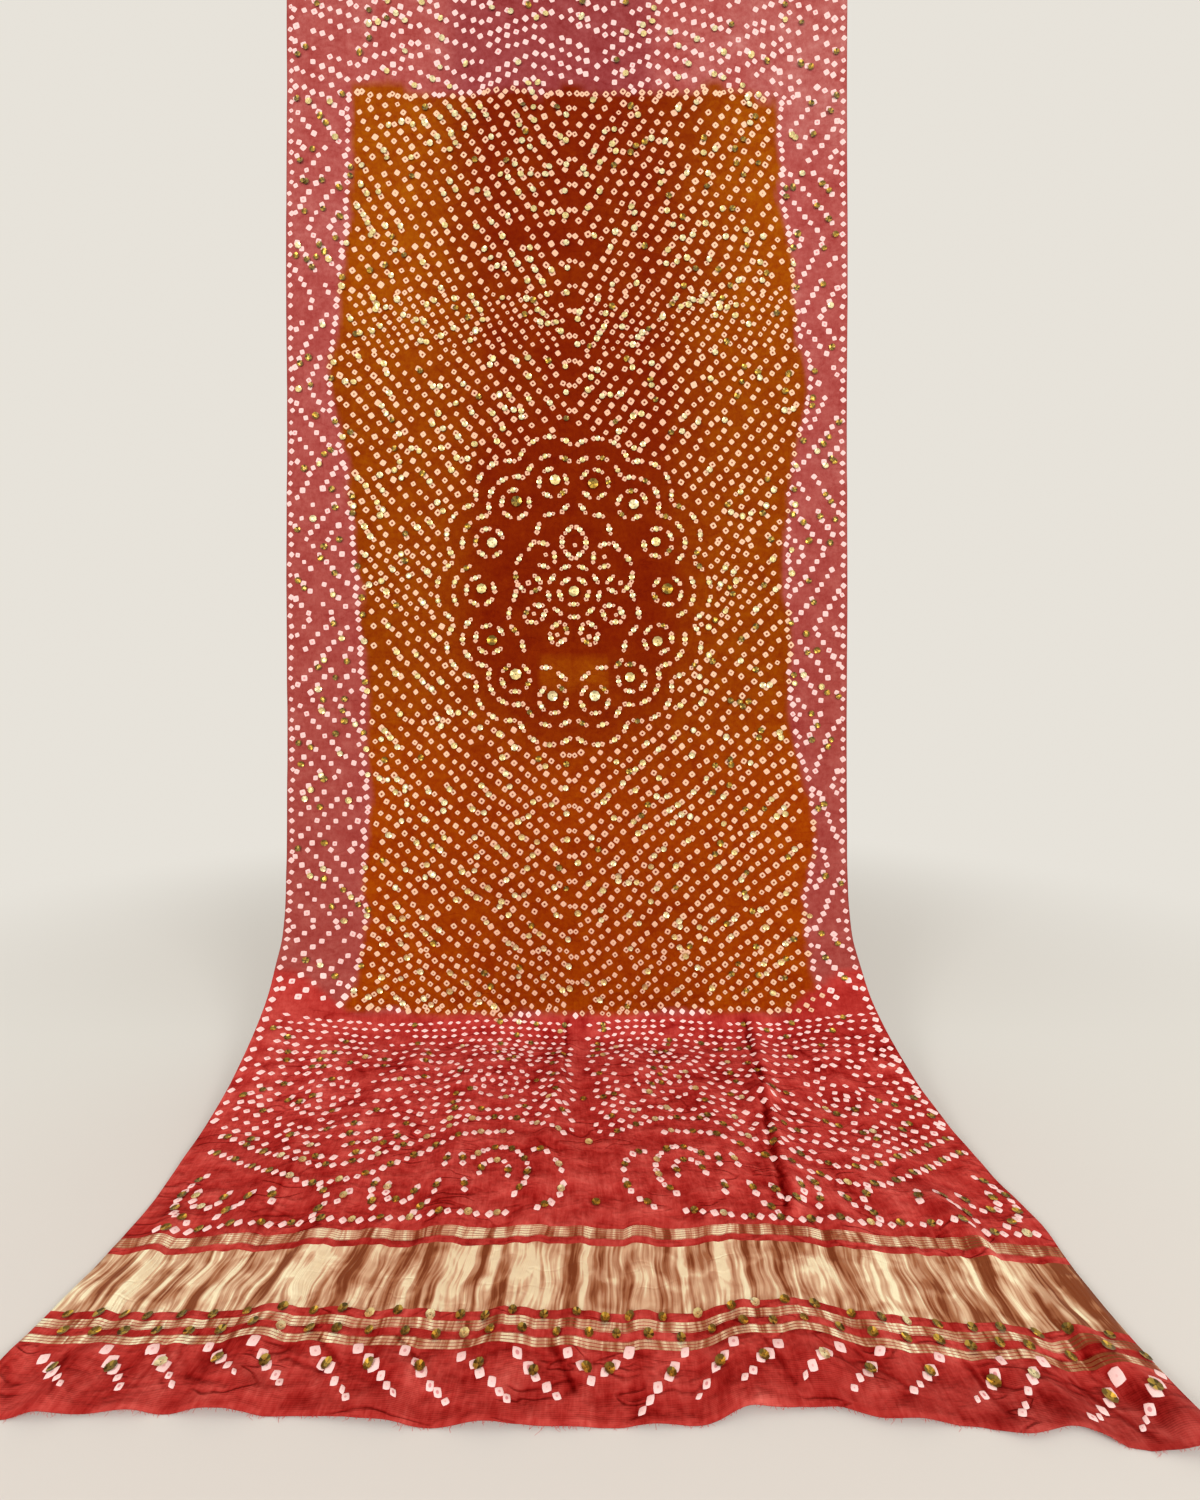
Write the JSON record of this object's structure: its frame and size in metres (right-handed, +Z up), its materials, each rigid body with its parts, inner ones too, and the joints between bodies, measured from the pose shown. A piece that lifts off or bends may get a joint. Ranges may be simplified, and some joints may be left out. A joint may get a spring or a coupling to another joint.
{
  "type": "hanging bandhani cloth",
  "caption": "Tie-dyed silk cloth hung by its upper edge, its gold-banded end turned out over the floor in soft creases and a scalloped front edge.",
  "frame": {"origin": "middle of the straight hanging edge at the top of the cloth", "axes": "+X to the right along the hanging edge, +Z up, the cloth's face and its laid end towards -Y"},
  "size_m": [0.933, 0.5204, 1.83],
  "materials": {
    "dyed_silk": "satin",
    "undyed_dot": "matte",
    "sequin": "polished"
  },
  "bodies": {
    "root": {"bandhani_cloth": "dyed_silk"}
  },
  "joints": []
}
